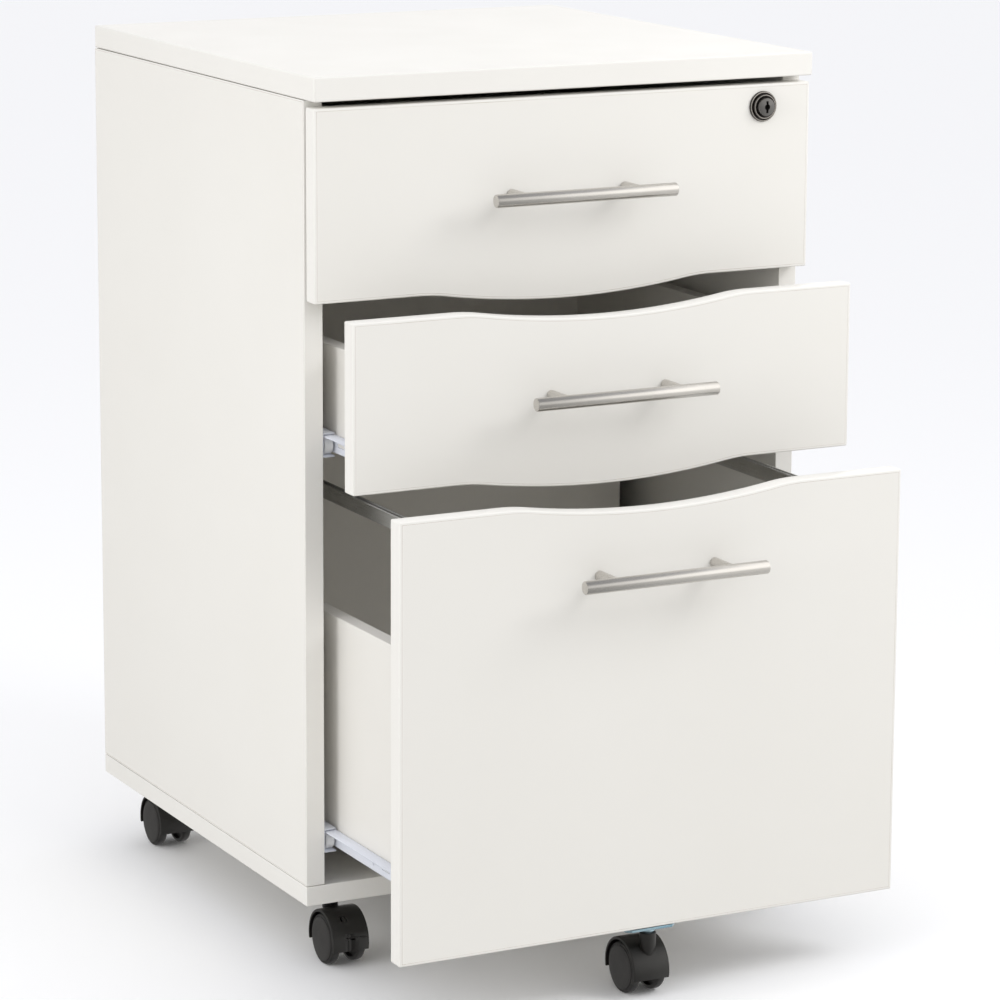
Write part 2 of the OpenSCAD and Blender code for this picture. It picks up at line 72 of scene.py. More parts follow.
floor_mesh = bmesh.new()
bmesh.ops.create_grid(floor_mesh, x_segments=1, y_segments=1, size=30)
floor_data = bpy.data.meshes.new("floor")
floor_mesh.to_mesh(floor_data)
floor_mesh.free()
floor = bpy.data.objects.new("floor", floor_data)
scene.collection.objects.link(floor)
floor.visible_glossy = False
floor_paper = bpy.data.materials.new("floor_paper")
floor_paper.use_nodes = True
paper = floor_paper.node_tree
pale = paper.nodes["Principled BSDF"]
pale.inputs["Base Color"].default_value = (0.97, 0.97, 0.97, 1)
pale.inputs["Roughness"].default_value = 0.9
pale.inputs["Specular IOR Level"].default_value = 0.1
# The floor throws less light back at the cabinet than the camera sees, as white paper does far from it
bounce = paper.nodes.new("ShaderNodeBsdfDiffuse")
bounce.inputs["Color"].default_value = (0.66, 0.655, 0.64, 1)
looked_at = paper.nodes.new("ShaderNodeLightPath")
paper_mix = paper.nodes.new("ShaderNodeMixShader")
paper.links.new(looked_at.outputs["Is Camera Ray"], paper_mix.inputs[0])
paper.links.new(bounce.outputs[0], paper_mix.inputs[1])
paper.links.new(pale.outputs[0], paper_mix.inputs[2])
paper.links.new(paper_mix.outputs[0], paper.nodes["Material Output"].inputs["Surface"])
floor_data.materials.append(floor_paper)

surroundings = bpy.data.worlds.new("surroundings")
surroundings.use_nodes = True
scene.world = surroundings
sky = surroundings.node_tree
whole_direction = sky.nodes.new("ShaderNodeTexCoord")
direction = sky.nodes.new("ShaderNodeSeparateXYZ")
ray = sky.nodes.new("ShaderNodeLightPath")
sky.links.new(whole_direction.outputs["Generated"], direction.inputs[0])


def spread(tree, value, from_low, from_high, to_low, to_high):
    node = tree.nodes.new("ShaderNodeMapRange")
    tree.links.new(value, node.inputs["Value"])
    limits = {"From Min": from_low, "From Max": from_high, "To Min": to_low, "To Max": to_high}
    for place, limit in limits.items():
        if isinstance(limit, bpy.types.NodeSocket):
            tree.links.new(limit, node.inputs[place])
        else:
            node.inputs[place].default_value = limit
    return node.outputs["Result"]


def sky_by_height(lowest, *stops):
    """A background whose colour changes with the height of a direction, given as (height, colour) pairs."""
    ramp = sky.nodes.new("ShaderNodeValToRGB")
    while len(ramp.color_ramp.elements) < len(stops):
        ramp.color_ramp.elements.new(0.5)
    for stop, (place, colour) in zip(ramp.color_ramp.elements, stops):
        stop.position, stop.color = (place - lowest) / (1 - lowest), (*colour, 1)
    background = sky.nodes.new("ShaderNodeBackground")
    sky.links.new(spread(sky, direction.outputs["Z"], lowest, 1, 0, 1), ramp.inputs[0])
    sky.links.new(ramp.outputs["Color"], background.inputs["Color"])
    return background


def choose(ray_kind, otherwise, chosen):
    either = sky.nodes.new("ShaderNodeMixShader")
    sky.links.new(ray.outputs[ray_kind], either.inputs[0])
    sky.links.new(otherwise.outputs[0], either.inputs[1])
    sky.links.new(chosen.outputs[0], either.inputs[2])
    return either


soft_white = sky_by_height(0, (0.0, (0.97, 0.955, 0.93)), (1.0, (0.93, 0.945, 1.0)))
# What shines in metal and moulding: a pale floor, a broad bright window above it, and less of both at the left
mirrored = sky_by_height(-1, (-1.0, (0.4, 0.4, 0.4)), (-0.2, (0.55, 0.545, 0.53)), (-0.02, (0.6, 0.595, 0.58)),
                         (0.1, (1.0, 0.99, 0.97)), (0.62, (1.0, 0.99, 0.97)), (0.78, (0.42, 0.42, 0.43)))
sky.links.new(spread(sky, direction.outputs["X"], -0.1, 0.7, 0.75, 1.7), mirrored.inputs["Strength"])
plain_white = sky_by_height(0, (0.0, (1, 1, 1)), (1.0, (1, 1, 1)))
seen = choose("Is Camera Ray", choose("Is Glossy Ray", soft_white, mirrored), plain_white)
sky.links.new(seen.outputs[0], sky.nodes["World Output"].inputs["Surface"])


def soft_lamp(name, place, aim, width, power):
    lamp_data = bpy.data.lights.new(name, "AREA")
    lamp_data.shape = "DISK"
    lamp_data.size = width
    lamp_data.energy = power
    lamp = bpy.data.objects.new(name, lamp_data)
    scene.collection.objects.link(lamp)
    lamp.location = place
    lamp.rotation_euler = (Vector(aim) - Vector(place)).to_track_quat("-Z", "Y").to_euler()
    lamp.visible_glossy = False


soft_lamp("right_front_lamp", (0.95, -0.95, 1.25), (0.05, -0.1, 0.55), 0.7, 7)
soft_lamp("left_lamp", (-2.1, -0.5, 0.9), (0, -0.1, 0.4), 1.2, 12)

# ---- Carcass boards ----
# Particle board faced with white melamine film, the cut edges closed with strips of white ABS that are glued on
# and rounded over. Side panels stand on the bottom panel, the top lies over them, and the back sits between.


def shader_group(name, inputs, outputs):
    group = bpy.data.node_groups.new(name, "ShaderNodeTree")
    for label, kind, value in inputs:
        group.interface.new_socket(label, in_out="INPUT", socket_type="NodeSocket" + kind).default_value = value
    for label, kind in outputs:
        group.interface.new_socket(label, in_out="OUTPUT", socket_type="NodeSocket" + kind)
    return group, group.nodes.new("NodeGroupInput"), group.nodes.new("NodeGroupOutput")


def noise(tree, vector, scale, detail):
    node = tree.nodes.new("ShaderNodeTexNoise")
    node.inputs["Detail"].default_value = detail
    tree.links.new(vector, node.inputs["Vector"])
    if isinstance(scale, bpy.types.NodeSocket):
        tree.links.new(scale, node.inputs["Scale"])
    else:
        node.inputs["Scale"].default_value = scale
    return node.outputs["Fac"]


def blend_colours(tree, amount, first, second):
    node = tree.nodes.new("ShaderNodeMix")
    node.data_type = "RGBA"
    tree.links.new(amount, node.inputs["Factor"])
    for place, colour in (("A", first), ("B", second)):
        socket = next(s for s in node.inputs if s.name == place and s.type == "RGBA")
        if isinstance(colour, bpy.types.NodeSocket):
            tree.links.new(colour, socket)
        else:
            socket.default_value = (*colour, 1)
    return next(s for s in node.outputs if s.type == "RGBA")


# A film, paint or moulding that is never quite even: clouded colour, patches that shine more or less, fine grain
cast_skin, skin_in, skin_out = shader_group(
    "cast_skin",
    [("Main", "Color", (0.8, 0.8, 0.8, 1)), ("Cloud", "Color", (0.7, 0.7, 0.7, 1)), ("Cloud Scale", "Float", 6),
     ("Shiny", "Float", 0.3), ("Dull", "Float", 0.5), ("Grain Scale", "Float", 900)],
    [("Color", "Color"), ("Roughness", "Float"), ("Grain", "Float")])
at = cast_skin.nodes.new("ShaderNodeTexCoord").outputs["Object"]
clouds = spread(cast_skin, noise(cast_skin, at, skin_in.outputs["Cloud Scale"], 4), 0.35, 0.65, 0.0, 1.0)
cast_skin.links.new(blend_colours(cast_skin, clouds, skin_in.outputs["Main"], skin_in.outputs["Cloud"]),
                    skin_out.inputs["Color"])
patches = spread(cast_skin, noise(cast_skin, at, 23, 5), 0.3, 0.7, skin_in.outputs["Shiny"],
                 skin_in.outputs["Dull"])
cast_skin.links.new(patches, skin_out.inputs["Roughness"])
cast_skin.links.new(noise(cast_skin, at, skin_in.outputs["Grain Scale"], 2), skin_out.inputs["Grain"])


def new_finish(name, group, values, bump_strength, bump_height, metallic=0.0):
    """A material whose colour, roughness and relief come from a shader group."""
    material = bpy.data.materials.new(name)
    material.use_nodes = True
    tree = material.node_tree
    shader = tree.nodes["Principled BSDF"]
    shader.inputs["Metallic"].default_value = metallic
    effect = tree.nodes.new("ShaderNodeGroup")
    effect.node_tree = group
    for label, value in values.items():
        effect.inputs[label].default_value = (*value, 1) if isinstance(value, tuple) else value
    tree.links.new(effect.outputs["Color"], shader.inputs["Base Color"])
    tree.links.new(effect.outputs["Roughness"], shader.inputs["Roughness"])
    bump = tree.nodes.new("ShaderNodeBump")
    bump.inputs["Strength"].default_value = bump_strength
    bump.inputs["Distance"].default_value = bump_height
    tree.links.new(effect.outputs["Grain"], bump.inputs["Height"])
    tree.links.new(bump.outputs["Normal"], shader.inputs["Normal"])
    return material


melamine = new_finish("white_melamine", cast_skin, {
    "Main": (0.84, 0.824, 0.782), "Cloud": (0.828, 0.811, 0.767), "Cloud Scale": 5.0,
    "Shiny": 0.38, "Dull": 0.46, "Grain Scale": 850.0}, 0.25, 0.00005)
edge_strip = new_finish("abs_edge_strip", cast_skin, {
    "Main": (0.855, 0.84, 0.80), "Cloud": (0.842, 0.826, 0.785), "Cloud Scale": 11.0,
    "Shiny": 0.30, "Dull": 0.35, "Grain Scale": 420.0}, 0.2, 0.00003)
glue_line = new_finish("glue_line", cast_skin, {
    "Main": (0.70, 0.66, 0.60), "Cloud": (0.36, 0.28, 0.21), "Cloud Scale": 16.0,
    "Shiny": 0.55, "Dull": 0.8, "Grain Scale": 2000.0}, 0.3, 0.00005)
raw_board = new_finish("raw_particle_board", cast_skin, {
    "Main": (0.42, 0.30, 0.19), "Cloud": (0.24, 0.16, 0.095), "Cloud Scale": 420.0,
    "Shiny": 0.8, "Dull": 0.95, "Grain Scale": 700.0}, 0.9, 0.0003)
for film in (melamine, edge_strip):
    film.node_tree.nodes["Principled BSDF"].inputs["Specular IOR Level"].default_value = 0.3
BOARD_FINISHES = [melamine, edge_strip, glue_line, raw_board]
FACE, STRIP, GLUE, RAW = range(4)


def make_piece(name, bm, body, finishes, stands_for=()):
    """Turns a bmesh that is already in place into a piece riding on a body."""
    bm.normal_update()
    mesh = bpy.data.meshes.new(name)
    bm.to_mesh(mesh)
    bm.free()
    for material in finishes:
        mesh.materials.append(material)
    piece = bpy.data.objects.new(name, mesh)
    scene.collection.objects.link(piece)
    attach(piece, body)
    if stands_for:
        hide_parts(*stands_for)
    return piece


def add_block(bm, low, high):
    """Adds a box from its low to its high corner, and returns its vertices."""
    low, high = Vector(low), Vector(high)
    verts = bmesh.ops.create_cube(bm, size=1)["verts"]
    bmesh.ops.scale(bm, vec=high - low, verts=verts)
    bmesh.ops.translate(bm, vec=(low + high) / 2, verts=verts)
    return verts


def corners(bm, least=35):
    return [e for e in bm.edges if e.is_manifold and e.calc_face_angle() > math.radians(least)]


def soften(bm, edges, radius, steps=3):
    made = bmesh.ops.bevel(bm, geom=edges, offset=radius, offset_type="OFFSET", affect="EDGES",
                           segments=steps, profile=0.5, material=-1)["faces"]
    for face in made:
        face.smooth = True
    return made


def band_edges(bm, through, rounding, strip):
    """Closes a bare board's edges: rounded strips all round, and a hair of glue where they meet the film."""
    for face in bm.faces:
        face.material_index = FACE if abs(face.normal.dot(through)) > 0.9 else STRIP
    for face in soften(bm, corners(bm), rounding):
        face.material_index = STRIP
    broad = [f for f in bm.faces if f.material_index == FACE]
    for width, finish in ((strip - rounding, STRIP), (0.00018, GLUE)):
        for face in bmesh.ops.inset_region(bm, faces=broad, thickness=width, use_even_offset=True)["faces"]:
            face.material_index = finish


def sink(bm, toward, low, high, depth, finish=None):
    """Sinks the part of a flat side that lies between two corners by depth, towards the given direction."""
    sides = [f for f in bm.faces if f.normal.dot(toward) < -0.9 and f.calc_area() > 1e-5]
    for axis in (X, Y, Z):
        if abs(axis.dot(toward)) > 0.5:
            continue
        for limit in (low, high):
            geom = {g for f in sides for g in (f, *f.edges, *f.verts)}
            cut = bmesh.ops.bisect_plane(bm, geom=list(geom), plane_co=limit, plane_no=axis)
            sides = [g for g in cut["geom"] if isinstance(g, bmesh.types.BMFace)]
    flat = [axis for axis in (X, Y, Z) if abs(axis.dot(toward)) < 0.5]
    inside = [f for f in sides if all(low.dot(a) < f.calc_center_median().dot(a) < high.dot(a) for a in flat)]
    made = bmesh.ops.extrude_face_region(bm, geom=inside)["geom"]
    moved = [g for g in made if isinstance(g, bmesh.types.BMVert)]
    bmesh.ops.translate(bm, vec=toward * depth, verts=moved)
    if finish is not None:
        for face in {f for v in moved for f in v.link_faces}:
            face.material_index = finish
    bm.normal_update()


def shift_new(bm, made, offset):
    """Moves the corners that an extrusion made."""
    bmesh.ops.translate(bm, vec=offset, verts=[g for g in made if isinstance(g, bmesh.types.BMVert)])


def banded_board(node, through, rounding, strip, joint=0.0):
    """A board with its four edges closed, that leaves a fine shadow line where it stands between two others."""
    low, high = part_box(node)
    bm = bmesh.new()
    add_block(bm, low + Z * joint, high - Z * joint)
    band_edges(bm, through, rounding, strip)
    return bm


JOINT, BAND_ROUND, BAND_T = 0.0005, 0.0005, 0.001
for node, through, joint, name in (("bottom_panel", Z, 0.0, "bottom_board"),
                                   ("left_side_panel", X, JOINT, "left_side_board"),
                                   ("back_panel", Y, JOINT, "back_board")):
    make_piece(name, banded_board(node, through, BAND_ROUND, BAND_T, joint), "cabinet", BOARD_FINISHES,
               [node])
make_piece("top_board", banded_board("top_panel", Z, 0.0012, 0.002), "cabinet", BOARD_FINISHES,
           ["top_panel"])

# The right side panel has a milled groove for the locking bar, open at the inner face, with the bare core showing
side_low, side_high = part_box("right_side_panel")
bar_low, bar_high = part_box("lock_bar")
GROOVE_FRONT, GROOVE_WIDE, GROOVE_DEEP = 0.014, 0.0185, 0.006
right_side = banded_board("right_side_panel", X, 0.0005, 0.001, JOINT)
sink(right_side, X, Vector((0, side_low.y + GROOVE_FRONT, bar_low.z - 0.005)),
     Vector((0, side_low.y + GROOVE_FRONT + GROOVE_WIDE, side_high.z - 0.0015)), GROOVE_DEEP, RAW)
make_piece("right_side_board", right_side, "cabinet", BOARD_FINISHES, ["right_side_panel"])

# ---- Knock-down fittings ----
# Zinc cams in the side panels pull up bolts in the top and bottom panels. White plastic caps close the upper
# cams, and the runners cover the lower ones.
cap_plastic = new_finish("cap_plastic", cast_skin, {
    "Main": (0.80, 0.80, 0.78), "Cloud": (0.77, 0.77, 0.75), "Cloud Scale": 60.0,
    "Shiny": 0.3, "Dull": 0.42, "Grain Scale": 1500.0}, 0.3, 0.00004)

# Rolled, drawn or brushed metal: fine lines along one direction, broken by a faint cloud
drawn_metal, metal_in, metal_out = shader_group(
    "drawn_metal",
    [("Main", "Color", (0.7, 0.7, 0.7, 1)), ("Cloud", "Color", (0.6, 0.6, 0.6, 1)),
     ("Lines", "Vector", (20, 2000, 2000)), ("Shiny", "Float", 0.25), ("Dull", "Float", 0.4)],
    [("Color", "Color"), ("Roughness", "Float"), ("Grain", "Float")])
at = drawn_metal.nodes.new("ShaderNodeTexCoord").outputs["Object"]
stretch = drawn_metal.nodes.new("ShaderNodeVectorMath")
stretch.operation = "MULTIPLY"
drawn_metal.links.new(at, stretch.inputs[0])
drawn_metal.links.new(metal_in.outputs["Lines"], stretch.inputs[1])
lines = noise(drawn_metal, stretch.outputs["Vector"], 1.0, 4)
wide_clouds = spread(drawn_metal, noise(drawn_metal, at, 35, 4), 0.35, 0.65, 0.0, 1.0)
tint = blend_colours(drawn_metal, wide_clouds, metal_in.outputs["Main"], metal_in.outputs["Cloud"])
shine = spread(drawn_metal, lines, 0.3, 0.7, metal_in.outputs["Shiny"], metal_in.outputs["Dull"])
drawn_metal.links.new(tint, metal_out.inputs["Color"])
drawn_metal.links.new(shine, metal_out.inputs["Roughness"])
drawn_metal.links.new(lines, metal_out.inputs["Grain"])


def drawn_finish(name, main, cloud, shiny, dull, relief, depth, direction):
    """A metal whose fine lines run along an axis: 25 of them to the metre that way, and 2500 across."""
    finish = new_finish(name, drawn_metal, {"Main": main, "Cloud": cloud, "Shiny": shiny, "Dull": dull},
                        relief, depth, 1.0)
    effect = next(n for n in finish.node_tree.nodes if n.type == "GROUP")
    effect.inputs["Lines"].default_value = [25 if d else 2500 for d in direction]
    return finish


zinc_fittings = drawn_finish("zinc_fittings", (0.62, 0.62, 0.60), (0.52, 0.52, 0.50),
                             0.3, 0.5, 0.3, 0.00002, Y)
for fitting_node in ("panel_fittings", "upper_drawer_screws", "middle_drawer_screws", "lower_drawer_screws"):
    for material_slot in frame["nodes"][fitting_node].material_slots:
        material_slot.material = zinc_fittings


def add_lathed(bm, outline, centre, along, start, steps=64, closed=False):
    """Turns an outline of (radius, place along the axis) pairs round an axis."""
    fresh = [bm.verts.new(centre + start * radius + along * place) for radius, place in outline]
    edges = [bm.edges.new(pair) for pair in zip(fresh, fresh[1:] + fresh[:1] if closed else fresh[1:])]
    before = set(bm.faces)
    bmesh.ops.spin(bm, geom=fresh + edges, cent=centre, axis=along, angle=math.tau, steps=steps, use_merge=True)
    made = [f for f in bm.faces if f not in before]
    bmesh.ops.remove_doubles(bm, verts=list({v for f in made for v in f.verts}), dist=1e-6)
    made = [f for f in bm.faces if f not in before]
    bmesh.ops.recalc_face_normals(bm, faces=made)
    return made


def smooth_below(bm, faces, degrees=32):
    """Shades faces as one surface where they meet at less than the angle given."""
    for face in faces:
        face.smooth = True
    for edge in {e for f in faces for e in f.edges}:
        edge.smooth = edge.is_manifold and edge.calc_face_angle() < math.radians(degrees)


caps = bmesh.new()
cam_up, cam_from_edge = 0.034, 0.060
inner_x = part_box("left_side_panel")[1].x
for side in (-1, 1):
    for y in (side_low.y + cam_from_edge, side_high.y - cam_from_edge):
        cap_centre = Vector((side * -inner_x, y, side_high.z - cam_up))
        smooth_below(caps, add_lathed(
            caps, [(0, 0.0009), (0.0070, 0.0009), (0.0083, 0.0006), (0.0086, 0.0), (0, 0.0)],
            cap_centre, X * -side, Z, 40))
make_piece("cam_caps", caps, "cabinet", [cap_plastic])

# ---- Casters ----
# Twin-wheel furniture casters of black nylon: a hood with mudguard and boss in one moulding, two wheels with
# smooth disc covers snapped on a steel axle, and a stem that presses into the bottom panel.
MM = 0.001
hood_nylon = new_finish("black_nylon", cast_skin, {
    "Main": (0.0100, 0.0092, 0.0080), "Cloud": (0.0140, 0.0130, 0.0115), "Cloud Scale": 90.0,
    "Shiny": 0.36, "Dull": 0.52, "Grain Scale": 2600.0}, 0.35, 0.00006)
cover_nylon = new_finish("cover_nylon", cast_skin, {
    "Main": (0.0240, 0.0225, 0.0215), "Cloud": (0.0300, 0.0280, 0.0265), "Cloud Scale": 70.0,
    "Shiny": 0.42, "Dull": 0.58, "Grain Scale": 2200.0}, 0.35, 0.00006)
tread_nylon = new_finish("tread_nylon", cast_skin, {
    "Main": (0.0135, 0.0130, 0.0125), "Cloud": (0.030, 0.028, 0.026), "Cloud Scale": 160.0,
    "Shiny": 0.45, "Dull": 0.7, "Grain Scale": 1800.0}, 0.5, 0.00008)

WHEEL_R, HOOD_R, HOOD_HALF, WEB_HALF = 19.5 * MM, 23.3 * MM, 15 * MM, 6.5 * MM
TRAIL, HOOD_END, BOSS_TOP = 15.5 * MM, 14.5 * MM, 50.2 * MM
axle = Vector((0, TRAIL, WHEEL_R))


def cut_level(bm, faces, level_z):
    """Cuts a closed shell off below a level and closes it again."""
    geom = {g for f in faces for g in (f, *f.edges, *f.verts)}
    bmesh.ops.bisect_plane(bm, geom=list(geom), plane_co=(0, 0, level_z), plane_no=Z, clear_inner=True)
    bmesh.ops.holes_fill(bm, edges=[e for e in bm.edges if e.is_boundary], sides=0)


def hood_recess(bm, x_from, x_to, up_from, up_to, depth):
    """Sinks a patch of the mudguard's outside, between two angles over the axle on the trailing side."""
    outside = [f for f in bm.faces if abs(f.normal.x) < 0.3 and
               ((f.calc_center_median() - axle) * Vector((0, 1, 1))).length > HOOD_R - 0.4 * MM]
    planes = [(Vector((x, 0, 0)), X) for x in (x_from, x_to)]
    for angle in (up_from, up_to):
        planes.append((axle, Vector((0, -math.sin(math.radians(angle)), math.cos(math.radians(angle))))))
    for place, normal in planes:
        geom = {g for f in outside for g in (f, *f.edges, *f.verts)}
        cut = bmesh.ops.bisect_plane(bm, geom=list(geom), plane_co=place, plane_no=normal)
        outside = [g for g in cut["geom"] if isinstance(g, bmesh.types.BMFace)]
    inside = []
    for face in outside:
        middle = face.calc_center_median() - axle
        up = math.degrees(math.atan2(middle.z, middle.y))
        if x_from < middle.x < x_to and up_from < up < up_to:
            inside.append(face)
    made = bmesh.ops.extrude_face_region(bm, geom=inside)["geom"]
    for vert in (g for g in made if isinstance(g, bmesh.types.BMVert)):
        vert.co -= ((vert.co - axle) * Vector((0, 1, 1))).normalized() * depth


def hood(brake):
    bm = bmesh.new()
    guard = [(HOOD_R - inset * MM, -HOOD_HALF + along * MM)
             for inset, along in ((2.2, 0), (0.9, 0), (0.25, 0.3), (0, 0.9))]
    guard += [(radius, -place) for radius, place in reversed(guard)]
    cut_level(bm, add_lathed(bm, guard, axle, X, Z, 96, closed=True), HOOD_END)
    smooth_below(bm, list(bm.faces))
    if brake:
        # A square pocket, the finger gap beside the brake tab, and the slit over it
        hood_recess(bm, 1.2 * MM, 5.3 * MM, 46, 58, 1.3 * MM)
        hood_recess(bm, 0.4 * MM, 3.0 * MM, -12, 20, 1.0 * MM)
        hood_recess(bm, -7.0 * MM, 2.0 * MM, 13, 15, 0.8 * MM)
    web = bmesh.new()
    web_r = HOOD_R - 1.7 * MM
    cut_level(web, add_lathed(web, [(0, -WEB_HALF), (web_r, -WEB_HALF), (web_r, WEB_HALF), (0, WEB_HALF)],
                              axle, X, Z, 96), HOOD_END)
    sink_arch(web)
    boss = [(0, 27.5 * MM), (1.6 * MM, 27.5 * MM), (3.0 * MM, 28.7 * MM), (6.2 * MM, 39.5 * MM),
            (6.2 * MM, BOSS_TOP - 0.6 * MM), (5.6 * MM, BOSS_TOP), (0, BOSS_TOP)]
    axle_pin = [(0, -13 * MM), (2.3 * MM, -13 * MM), (2.5 * MM, -12.7 * MM), (2.5 * MM, 12.7 * MM),
                (2.3 * MM, 13 * MM), (0, 13 * MM)]
    smooth_below(web, add_lathed(web, boss, Vector(), Z, X, 48))
    smooth_below(web, add_lathed(web, axle_pin, axle, X, Z, 24))
    join(bm, web)
    return bm


def sink_arch(bm):
    """Hollows the web's flat underside between the wheels."""
    under = [f for f in bm.faces if f.normal.z < -0.9]
    bmesh.ops.inset_region(bm, faces=under, thickness=1.6 * MM, use_even_offset=True)
    made = bmesh.ops.extrude_face_region(bm, geom=under)["geom"]
    shift_new(bm, made, (0, 0, 3.2 * MM))


def join(bm, other):
    """Adds another bmesh's shells to this one."""
    carrier = bpy.data.meshes.new("carrier")
    other.to_mesh(carrier)
    other.free()
    bm.from_mesh(carrier)
    bpy.data.meshes.remove(carrier)


def wheel(side):
    bm = bmesh.new()
    outline = [(0, 15.5), (9.0, 15.45), (14.0, 15.25), (16.4, 14.95), (16.95, 14.6), (17.05, 14.0),
               (17.35, 13.95), (17.45, 14.35), (18.1, 14.25), (18.85, 13.8), (19.3, 13.0), (19.5, 12.0),
               (19.5, 9.2), (19.3, 8.3), (18.8, 7.75), (18.1, 7.5), (16.6, 7.5), (16.4, 10.6), (6.2, 10.6),
               (6.0, 7.6), (2.7, 7.5), (2.55, 7.7), (2.55, 13.2), (0, 13.2)]
    made = add_lathed(bm, [(r * MM, x * MM) for r, x in outline], axle, X * side, Z, 72)
    for face in made:
        place = face.calc_center_median().x * side
        radius = ((face.calc_center_median() - axle) * Vector((0, 1, 1))).length
        if place > 13.5 * MM and radius < 17.1 * MM and face.normal.x * side > 0.05:
            face.material_index = 1
    smooth_below(bm, made)
    return bm


pivots = {joint["name"]: Vector(joint["pos_m"]) for joint in frame["joints"] if "pos_m" in joint}
for caster in ("front_left", "front_right", "rear_left", "rear_right", "middle"):
    pivot = pivots[caster + "_swivel"]
    trails_back = pivots[caster + "_left_wheel_turn"].y > pivot.y
    there = Matrix.Translation((pivot.x, pivot.y, 0)) @ Matrix.Rotation(0 if trails_back else math.pi, 4, "Z")
    shells = {"hood": (hood(caster.startswith("front")), [hood_nylon], "black_nylon")}
    for side_name, side in (("left", -1), ("right", 1)):
        # Turned half round, the hood's own left is the object's right
        shell = wheel(side if trails_back else -side)
        shells[side_name + "_wheel"] = (shell, [tread_nylon, cover_nylon], "wheel_nylon")
    for part, (shell, finishes, slot) in shells.items():
        bmesh.ops.transform(shell, matrix=there, verts=shell.verts)
        make_piece(f"{caster}_{part}_moulding", shell, f"{caster}_caster_{part}", finishes,
                   [f"{caster}_caster_{part}"])

# Pressed stems with a collar, which carry the corner casters
panel_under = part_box("bottom_panel")[0].z
stems = bmesh.new()
for caster in ("front_left", "front_right", "rear_left", "rear_right"):
    pivot = pivots[caster + "_swivel"]
    smooth_below(stems, add_lathed(
        stems, [(0, 36 * MM), (4.0 * MM, 36 * MM), (4.0 * MM, BOSS_TOP + 0.3 * MM),
                (5.2 * MM, BOSS_TOP + 0.3 * MM), (5.5 * MM, BOSS_TOP + 0.6 * MM), (5.5 * MM, panel_under),
                (4.0 * MM, panel_under),
                (4.0 * MM, panel_under + 11.2 * MM), (3.4 * MM, panel_under + 12 * MM), (0, panel_under + 12 * MM)],
        Vector((pivot.x, pivot.y, 0)), Z, X, 40))
make_piece("caster_stem_pins", stems, "cabinet", [hood_nylon], ["caster_stems"])

# The fifth caster stands under the lower drawer's front, on a blue-passivated zinc plate with a drawn collar
zinc_plate = drawn_finish("blue_zinc", (0.52, 0.66, 0.72), (0.30, 0.46, 0.56),
                          0.12, 0.26, 0.25, 0.00002, X)
plate_low, plate_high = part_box("anti_tip_plate")
plate_mid, plate_t, corner_cut = (plate_low + plate_high) / 2, 2.1 * MM, 4 * MM
plate_top = plate_high.z - 0.4 * MM
plate = bmesh.new()
add_block(plate, (plate_low.x, plate_low.y, plate_top - plate_t), (plate_high.x, plate_high.y, plate_top))
soften(plate, [e for e in plate.edges if abs((e.verts[0].co - e.verts[1].co).z) > plate_t / 2], corner_cut, 1)
for face in plate.faces:
    face.smooth = False
soften(plate, corners(plate, 60), 0.35 * MM, 2)
collar_centre = Vector((plate_mid.x, plate_mid.y, 0))
collar = [(0, -16), (4.0, -16), (4.0, 0.9), (4.5, 0.6), (4.9, 0.7), (5.2, 1.2), (5.25, 1.8), (5.0, 2.4), (5.0, 3.4),
          (0, 3.4)]
smooth_below(plate, add_lathed(plate, [(r * MM, BOSS_TOP + z * MM) for r, z in collar], collar_centre, Z, X, 48))
make_piece("anti_tip_mounting", plate, "lower_drawer", [zinc_plate], ["anti_tip_plate"])

# ---- Drawer runners ----
# Roller runners of cold-rolled sheet, bent to an L and a C and powder coated white. The cabinet member carries a
# nylon roller at its front end and the drawer member one at its rear end, each on a riveted pin.
powder_coat = new_finish("powder_coat", cast_skin, {
    "Main": (0.76, 0.785, 0.85), "Cloud": (0.73, 0.755, 0.82), "Cloud Scale": 25.0,
    "Shiny": 0.26, "Dull": 0.38, "Grain Scale": 520.0}, 0.35, 0.00006)
roller_nylon = new_finish("roller_nylon", cast_skin, {
    "Main": (0.80, 0.80, 0.79), "Cloud": (0.76, 0.76, 0.75), "Cloud Scale": 80.0,
    "Shiny": 0.34, "Dull": 0.46, "Grain Scale": 1600.0}, 0.3, 0.00005)
SHEET, BEND = 1.2 * MM, 1.1 * MM


def add_loop(bm, points):
    fresh = [bm.verts.new(p) for p in points]
    return [bm.edges.new(pair) for pair in zip(fresh, fresh[1:] + fresh[:1])]


def add_slot(bm, middle, long_way, long, wide):
    """A hole outline with round ends in the YZ plane."""
    ends = bmesh.ops.create_circle(bm, segments=16, radius=wide / 2,
                                   matrix=Matrix.Translation(middle) @ Matrix.Rotation(math.pi / 2, 4, "Y"))["verts"]
    for vert in ends:
        away = (vert.co - middle).dot(long_way)
        vert.co += long_way * math.copysign((long - wide) / 2, away if abs(away) > 1e-7 else 1)
    return list({e for v in ends for e in v.link_edges})


def bend_out(bm, edges, centre, axis, angle, straight):
    """Bends the sheet's border round a radius and runs it on straight."""
    geom = list({v for e in edges for v in e.verts}) + list(edges)
    before = set(bm.faces)
    last = bmesh.ops.spin(bm, geom=geom, cent=centre, axis=axis, angle=angle, steps=4)["geom_last"]
    for face in (f for f in bm.faces if f not in before):
        face.smooth = True
    made = bmesh.ops.extrude_edge_only(bm, edges=[g for g in last if isinstance(g, bmesh.types.BMEdge)])["geom"]
    shift_new(bm, made, straight)


